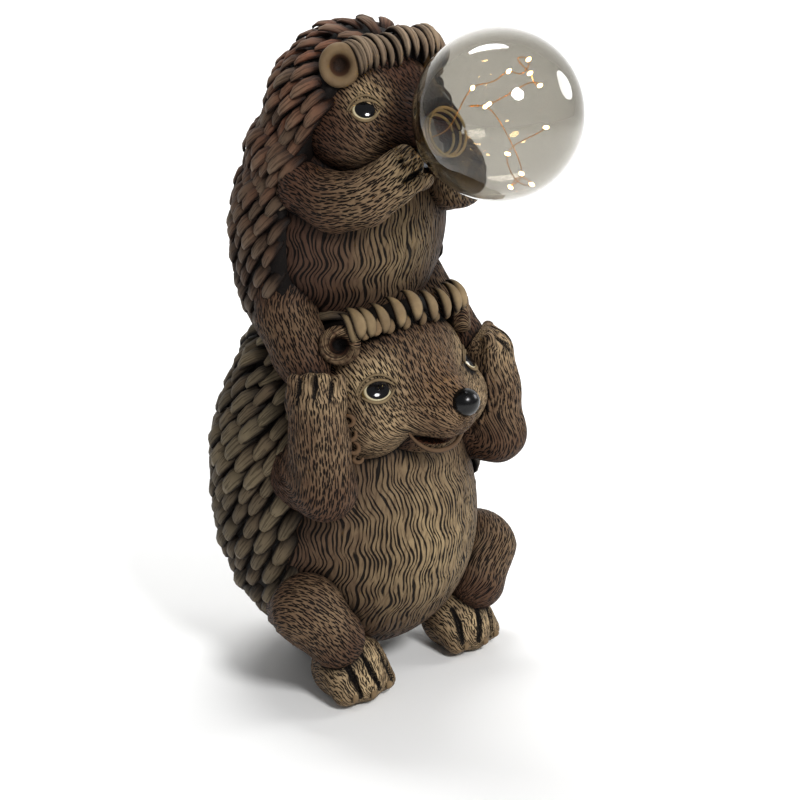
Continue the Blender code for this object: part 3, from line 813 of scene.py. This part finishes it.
def add_fringe(name, ends, peak, radius, count, size, angles, material, seed, gold, aside=0.0):
    """Leaves bent over a roll that bows from ear to ear, size a leaf's half width and half height.

    ends is the roll's end in x, y and z, and peak its y and z in the middle. A leaf is an arc of that
    radius about the roll from one angle to the other, up from straight ahead.
    """
    share = np.linspace(-1, 1, count)
    bow = np.sqrt(1 - 0.82 * share**2)
    luck = chance(np.arange(count), seed)[:, None]
    middle = np.stack([aside + ends[0] * np.sin(0.5 * np.pi * share), ends[1] + (peak[0] - ends[1]) * bow,
                       ends[2] + (peak[1] - ends[2]) * bow], 1)
    step = np.linspace(0, 1, 12)
    angle = angles[0] + (angles[1] - angles[0]) * step + 0.6 * (luck - 0.5)
    out = np.stack([0.35 * share[:, None] + 0.9 * (step - 0.5) * (luck - 0.5), -np.cos(angle), np.sin(angle)], -1)
    paths = middle[:, None] + radius * (0.85 + 0.25 * luck[..., None]) * out
    swell = np.sin(np.pi * step**0.7)
    ring = 12
    height = ring_heights(ring)
    numbers = {
        # Wash and painted shade: each leaf is darker at its ends and on its underside.
        "wash_and_shade": np.clip(1.7 - 2.5 * np.sin(np.pi * step**0.8)[:, None] * np.clip(height, 0, 1), 0, 1),
        "gold": gold * (0.6 + 0.4 * luck[..., None]) * np.clip(2 * height, 0, 1),
        "rust": 0.3 * luck[..., None],
        "lay_round": 0.2 * np.arange(ring) + 50 * luck[..., None],
        "lay_along": 2 * step[:, None],
    }
    add_leaves(name, paths, out, size[0] * swell * (0.85 + 0.3 * luck), size[1] * swell, ring, numbers, material)


add_fringe("lower_fringe", ends=(3.9, -3.75, 21.95), peak=(-4.9, 22.5), radius=1.15, count=11, size=(0.41, 0.26),
           angles=(-0.45, 1.85), material=plain_resin, seed=2, gold=0.62, aside=-0.4)
add_fringe("lower_small_fringe", ends=(3.5, -3.75, 22.0), peak=(-4.85, 22.45), radius=0.95, count=10, size=(0.3, 0.22),
           angles=(-0.8, 0.5), material=plain_resin, seed=4, gold=0.4, aside=-0.3)
add_fringe("upper_fringe", ends=(2.7, -2.9, 36.5), peak=(-3.7, 36.95), radius=1.2, count=15, size=(0.23, 0.24),
           angles=(-0.5, 2.5), material=upper_quilled, seed=6, gold=1.0)

share = np.linspace(0, 1, 22)
curls = []
for side in (-1, 1):
    for place, radius, start in (((5.45, -5.75, 17.5), 0.27, 0.4), ((5.55, -6.0, 16.75), 0.3, 2.2),
                                 ((5.35, -6.05, 15.95), 0.28, 1.2), ((4.9, -5.9, 15.2), 0.27, 3.0)):
        turn = start + 5.2 * share[:, None]
        curls.append(np.array((side * place[0], place[1], place[2]))
                     + radius * (np.cos(turn) * (0.72 * side, 0.69, 0) + np.sin(turn) * (0, 0, 1))
                     + 0.25 * share[:, None] * (0.69 * side, -0.72, 0))
curl_size = 0.15 * np.sqrt(np.sin(np.pi * (0.05 + 0.9 * share)))
curl_fronts = np.repeat([(side * 0.69, -0.72, 0) for side in (-1, 1)], 4, axis=0)[:, None]
# Each curl is darker on the side against the cheek: wash and painted shade.
add_leaves("lower_ruff", curls, curl_fronts, curl_size, curl_size, 10,
           {"wash_and_shade": roll_wash_and_shade(10, 0.9, 1.2, 1), "gold": 0.15, "rust": 0.2}, plain_resin)

# Ears of both hedgehogs: round dishes with a thick rim, cast with the heads and turned out to their
# sides. The lower one's are furred. Every dish and the back of each ear are dark with the wash and
# painted shade.


def add_ear(name, centre, toward, radius, stretch, fur_cut, gold, dark):
    """A dish turned about the way it faces: a smooth curve through (radius, height) points.

    stretch makes it taller than wide. fur_cut is how deep its fur is, gold how tan its rim is, and
    dark how much wash and painted shade lie in the dish.
    """
    profile = np.array([(0, -0.35), (0.22, -0.36), (0.4, -0.22), (0.48, 0.02), (0.6, 0.24), (0.78, 0.32),
                        (0.96, 0.24), (1.06, 0.0), (1.04, -0.35), (0.85, -0.7), (0.45, -0.95), (0, -1.0)])
    run = np.linspace(0, len(profile) - 1, 44)
    curve = smooth_path(profile, 44, 12)
    turn = 2 * np.pi * np.linspace(0, 1, 49)
    rings = np.stack([curve[:, :1] * np.cos(turn), curve[:, :1] * np.sin(turn) * stretch,
                      curve[:, 1:] + 0 * turn], -1)
    face = np.array(Vector(toward).to_track_quat("Z", "Y").to_matrix())
    points = np.array(centre) + radius * rings @ face.T
    hole = np.clip(2.2 - curve[:, 0] / 0.245, 0, 1)
    along = np.repeat(radius * run[:, None] / 8, 49, 1)
    round_it = curve[:, :1] * turn * radius
    cut = strokes(along, round_it + 1e-3, 0.25, 0.3, 0.1) * fur_cut * (hole[:, None] < 0.1)
    numbers = {
        # Wash and painted shade: dark in the dish and on the back of the ear.
        "wash_and_shade": np.clip(dark * hole[:, None] + 0.3 * cut + 0.7 * (run > 8.5)[:, None], 0, 1),
        "gold": np.clip(gold - hole, 0, 1)[:, None] * (1 - cut),
        "rust": 0.1,
        "lay_round": round_it,
        "lay_along": along,
    }
    grid_object(name, points, numbers, furred if fur_cut else plain_resin)


for side, word in ((-1, "right"), (1, "left")):
    add_ear(f"lower_{word}_ear", centre=(side * 4.95, -4.5, 21.4), toward=(side * 0.7, -0.72, 0.1),
            radius=1.15, stretch=0.95, fur_cut=0.8, gold=0.32, dark=1.0)
    add_ear(f"upper_{word}_ear", centre=(side * 3.6, -3.25, 36.6), toward=(side * 0.7, -0.72, 0.05),
            radius=1.1, stretch=1.08, fur_cut=0.0, gold=0.3, dark=0.78)

# Eyes of both and the lower one's nose: gloss lacquer on the cast resin, near black with a sharp light
# in it. A cream ring is painted round each pupil, and rolls of resin, dry-brushed tan, are the lids.
gloss_black = new_material("gloss black lacquer", "#070708", 0.24, {"Specular IOR Level": 0.35})[0]
eye_paint, eye_shader = new_material("gloss painted eye", "#0b0b0c", 0.1)
cream = add_node(eye_paint.node_tree, "Attribute", {"attribute_name": "cream"})
eye_mix = add_node(eye_paint.node_tree, "ValToRGB", {}, {"Fac": cream.outputs["Fac"]})
eye_mix.color_ramp.elements[0].color = linear("#08080a")
eye_mix.color_ramp.elements[0].position = 0.49
eye_mix.color_ramp.elements[1].color = linear("#d8cba6")
eye_mix.color_ramp.elements[1].position = 0.53
ring_edge = eye_mix.color_ramp.elements.new(0.62)
ring_edge.color = linear("#5c4a2a")
eye_paint.node_tree.links.new(eye_mix.outputs["Color"], eye_shader.inputs["Base Color"])


BALL_LEAN = np.pi * np.linspace(0, 1, 28)[:, None]


def ball_points(centre, radii, axes):
    """A ball's rings in parts, from radii along three axes. The first row faces along the last axis."""
    round_it = 2 * np.pi * np.linspace(0, 1, 33)
    ball = np.stack([np.sin(BALL_LEAN) * np.cos(round_it), np.sin(BALL_LEAN) * np.sin(round_it),
                     np.cos(BALL_LEAN) + 0 * round_it], -1)
    return np.array(centre) + (ball * np.array(radii)) @ np.array(axes)


def on_skin(places, forms, inward):
    """The places moved along inward until they lie on the forms' skin."""
    for _ in range(30):
        places = places + np.asarray(inward) * form_distance(places, forms, 1.0)[..., None]
    return places


def add_eye(name, side, forms, place, half, pupil, tilt):
    """An eyeball between two lids on the forms' skin. half is its opening's half width and height.

    Across the eye, a lid's height is the opening's times 1 - x^2, and its outer corner is tilted up.
    """
    place = np.array((side * place[0], *place[1:]), float)
    steps = np.eye(3) * 0.05
    slope = form_distance(place + steps, forms, 1.0) - form_distance(place - steps, forms, 1.0)
    normal = slope / np.linalg.norm(slope)
    place = on_skin(place, forms, -normal)
    inward = side * unit(np.cross((0, 0, 1), normal))
    up = side * np.cross(normal, inward)
    inward, up = inward * math.cos(tilt) - up * math.sin(tilt), up * math.cos(tilt) + inward * math.sin(tilt)
    deep = 0.5 * half[0]
    bulge = 0.14
    gaze = unit(normal + 0.16 * up - 0.1 * inward)
    side_on = unit(np.cross(up, gaze))
    ball = ball_points(place - (deep - bulge) * normal, (1.15 * half[0], 1.15 * half[1], deep),
                       (side_on, np.cross(gaze, side_on), gaze))
    lean = np.minimum(BALL_LEAN, 0.5 * np.pi)
    grid_object(f"{name}_ball", ball, {"cream": np.clip(0.5 * np.sin(lean) * 1.15 * half[0] / pupil, 0, 1)},
                eye_paint)
    across = np.linspace(-1, 1, 30)[:, None]
    loops = []
    for lid, wide, high in ((1, 1.3, 0.95), (1, 1.5, 1.4), (-1, 1.2, 1.0)):
        loop = place + wide * half[0] * across * inward + lid * high * half[1] * (1 - across**2) ** 0.8 * up
        loops.append(on_skin(loop + 0.3 * normal, forms, -normal) + 0.02 * normal)
    thick = np.array([[0.1], [0.08], [0.11]]) * (0.3 + 0.7 * (1 - across[:, 0] ** 2) ** 0.5)
    # Each lid is darker on the side turned in to the eye and skin: wash and painted shade.
    add_leaves(f"{name}_lids", loops, normal, thick, thick, 10,
               {"wash_and_shade": roll_wash_and_shade(10, 0.9, 1.2, 0.95), "gold": 0.42, "rust": 0.0}, plain_resin)


for side, word, lower_place in ((-1, "right", (3.6, -6.1, 18.79)), (1, "left", (3.95, -5.6, 18.79))):
    add_eye(f"lower_{word}_eye", side, LOWER_HEAD, lower_place, (0.84, 0.66), 0.67, 0.2)
    add_eye(f"upper_{word}_eye", side, UPPER_HEAD, (2.8, -4.35, 34.1), (0.68, 0.6), 0.6, 0.1)
nose = ball_points((0, -9.45, 18.17), (0.84, 0.8, 0.8), ((1, 0, 0), (0, 0, 1), (0, -1, 0)))
grid_object("nose", nose, {}, gloss_black)

# Lip of the lower hedgehog's jaw: a roll of resin round the open mouth, in one casting with it. The
# side turned in to the mouth is painted darker, wash and painted shade, so its top looks lighter.
half_lip = np.array([(2.45, -7.1, 16.75), (2.2, -7.4, 16.0), (1.6, -7.62, 15.42), (0.9, -7.85, 15.02),
                     (0, -7.92, 14.9)])
lip = smooth_path(np.concatenate([half_lip, half_lip[-2::-1] * (-1, 1, 1)]), 60, 30)
lip_size = 0.15 * np.sin(np.pi * np.linspace(0, 1, 60)) ** 0.4
add_leaves("lower_lip", lip[None], (0, -0.8, 0.6), lip_size, lip_size, 12,
           {"wash_and_shade": roll_wash_and_shade(12, 0.75, 0.9, 0.8), "gold": 0.12, "rust": 0.1}, plain_resin)

# Clear globe: blown plastic with a wall under a millimetre, open into its neck, on the seat that the
# CAD gives it. It is clear with a light grey cast, painted shade for the dim surroundings seen through
# it, and its three moulded beads are tinted warm as painted light from the lamps.
GLOBE_RISE = math.radians(20.4)
MOUTH = np.array((0.0, -7.54, 33.02))
RADIUS = 0.045 / PART
NECK = 0.015 / PART
NECK_LENGTH = 0.0105 / PART
WALL = 0.0008 / PART
FORWARD = np.array((0.0, -math.cos(GLOBE_RISE), math.sin(GLOBE_RISE)))
UPWARD = np.array((0.0, math.sin(GLOBE_RISE), math.cos(GLOBE_RISE)))


def turned_points(profile, columns=96):
    """Rings about the globe's own axis from (radius, distance out of the mouth) points, in parts."""
    turn = 2 * np.pi * np.linspace(0, 1, columns + 1)
    profile = np.array(profile, float)
    return (MOUTH + profile[:, 1, None, None] * FORWARD
            + profile[:, 0, None, None] * (np.cos(turn)[:, None] * (1, 0, 0) + np.sin(turn)[:, None] * UPWARD))


def globe_profile(radius, neck):
    """(radius, distance) points of a ball from its far end down to its neck of that radius."""
    last = np.pi - math.asin(neck / radius)
    lean = np.linspace(0, last, 64)
    seat = math.sqrt(RADIUS**2 - NECK**2)
    ball = np.stack([radius * np.sin(lean), seat + radius * np.cos(lean)], 1)
    stem = np.stack([np.full(12, neck), np.linspace(0, -NECK_LENGTH, 13)[1:]], 1)
    profile = np.concatenate([ball, stem])
    return np.concatenate([profile[:1], smooth_path(profile[1:], len(profile) - 1, 10)])


wall_points = np.concatenate([globe_profile(RADIUS, NECK), globe_profile(RADIUS - WALL, NECK - 1.5 * WALL)[::-1]])
# Painted shade: the light grey tint darkens the clear wall, for the dim surroundings seen through it.
clear = new_material("clear blown plastic", "#c1beb7", 0.0, {"Transmission Weight": 1.0, "IOR": 1.45})[0]
grid_object("globe_wall", turned_points(wall_points), {}, clear, "clear_globe")
turn = 2 * np.pi * np.linspace(0, 1, 73)[:, None]
beads = [MOUTH + rise * FORWARD + radius * (np.cos(turn) * (1, 0, 0) + np.sin(turn) * UPWARD)
         for radius, rise in ((NECK - 0.17, 0.35), (NECK - 0.25, 0.0), (NECK - 0.4, -0.4))]
# Painted light: the beads are tinted warm and half opaque, for the lamps' light caught in them.
painted_warm_rim = new_material("warm moulded rim", "#cdbb8a", 0.1, {"Transmission Weight": 0.55})[0]
bead_size = 0.09 * np.sqrt(np.sin(np.pi * np.linspace(0.02, 0.98, 73)) ** 0.2)
add_leaves("neck_beads", beads, FORWARD, bead_size, bead_size, 10, {}, painted_warm_rim, "clear_globe")

# Cap of the globe's neck: a dark moulded plug, half gloss, with a hub that the light wire comes out of.
# The wire is thin lacquered copper in loose arcs, given a faint warm glow as painted light from the
# lamps, and each lamp on it is a lit chip in a drop of clear resin, so bright that it looks white.
CAP = 0.0145 / PART
FIT = 0.0003 / PART
HUB_ROOM = 0.29
cap_profile = np.array([(0, 0.28), (0.28, 0.28), (0.34, 0.22), (0.36, 0.02), (0.5, 0.0), (0.95, 0.0), (1.1, 0.12),
                        (1.25, 0.12), (1.3, 0.0), (CAP - 0.05, 0.0), (CAP, -0.05), (CAP, -0.6), (0, -0.6)])
cap_profile[:, 1] -= NECK_LENGTH + FIT + HUB_ROOM
cap_profile = smooth_path(cap_profile, 73, 0)
cap_paint = new_material("dark moulded plastic", "#6a7078", 0.2)[0]
grid_object("neck_plug", turned_points(cap_profile, 64), {}, cap_paint, "neck_cap")

LAMPS = np.array([(-0.31, -9.82, 36.02), (1.37, -10.97, 36.81), (0.94, -13.18, 37.6), (2.71, -11.61, 36.32),
                  (0.44, -14.29, 36.23), (1.05, -10.08, 34.63), (-1.02, -11.6, 35.21), (-0.13, -13.9, 31.68),
                  (0.27, -12.21, 30.58), (1.12, -13.5, 30.76), (1.9, -10.0, 32.2), (2.9, -12.4, 33.6)])
start = MOUTH - NECK_LENGTH * FORWARD
stations = [start, start + 1.2 * FORWARD]
for place in LAMPS:
    stations += [(stations[-1] + place) / 2 + 2.4 * (chance(place[0] * 10, np.arange(3)) - 0.5), place]
wire = smooth_path(stations, 600, 160)
# Painted light: the copper glows a little, for the lamps' warm light on it.
copper = new_material("lacquered copper wire", "#c98a4a", 0.25, {
    "Metallic": 1.0, "Emission Color": linear("#e8a850"), "Emission Strength": 0.35})[0]
glow = new_material("lit lamp drop", "#fff1c8", 0.1, {
    "Emission Color": linear("#ffd890"), "Emission Strength": 150.0})[0]
add_leaves("light_wire", wire[None], (0.3, 0.2, 0.9), 0.028, 0.028, 6, {}, copper, "clear_globe")
near = np.array([wire[np.argmin(np.linalg.norm(wire - place, axis=1))] for place in LAMPS])
drop_steps = np.linspace(-0.5, 0.5, 9)
drops = near[:, None] + 0.34 * drop_steps[:, None] * unit(near - MOUTH)[:, None]
drop_size = 0.1 * np.sqrt(np.maximum(np.cos(np.pi * drop_steps), 0))
add_leaves("lamp_drops", drops, (0.3, 0.2, 0.9), drop_size, drop_size, 10, {}, glow, "clear_globe")
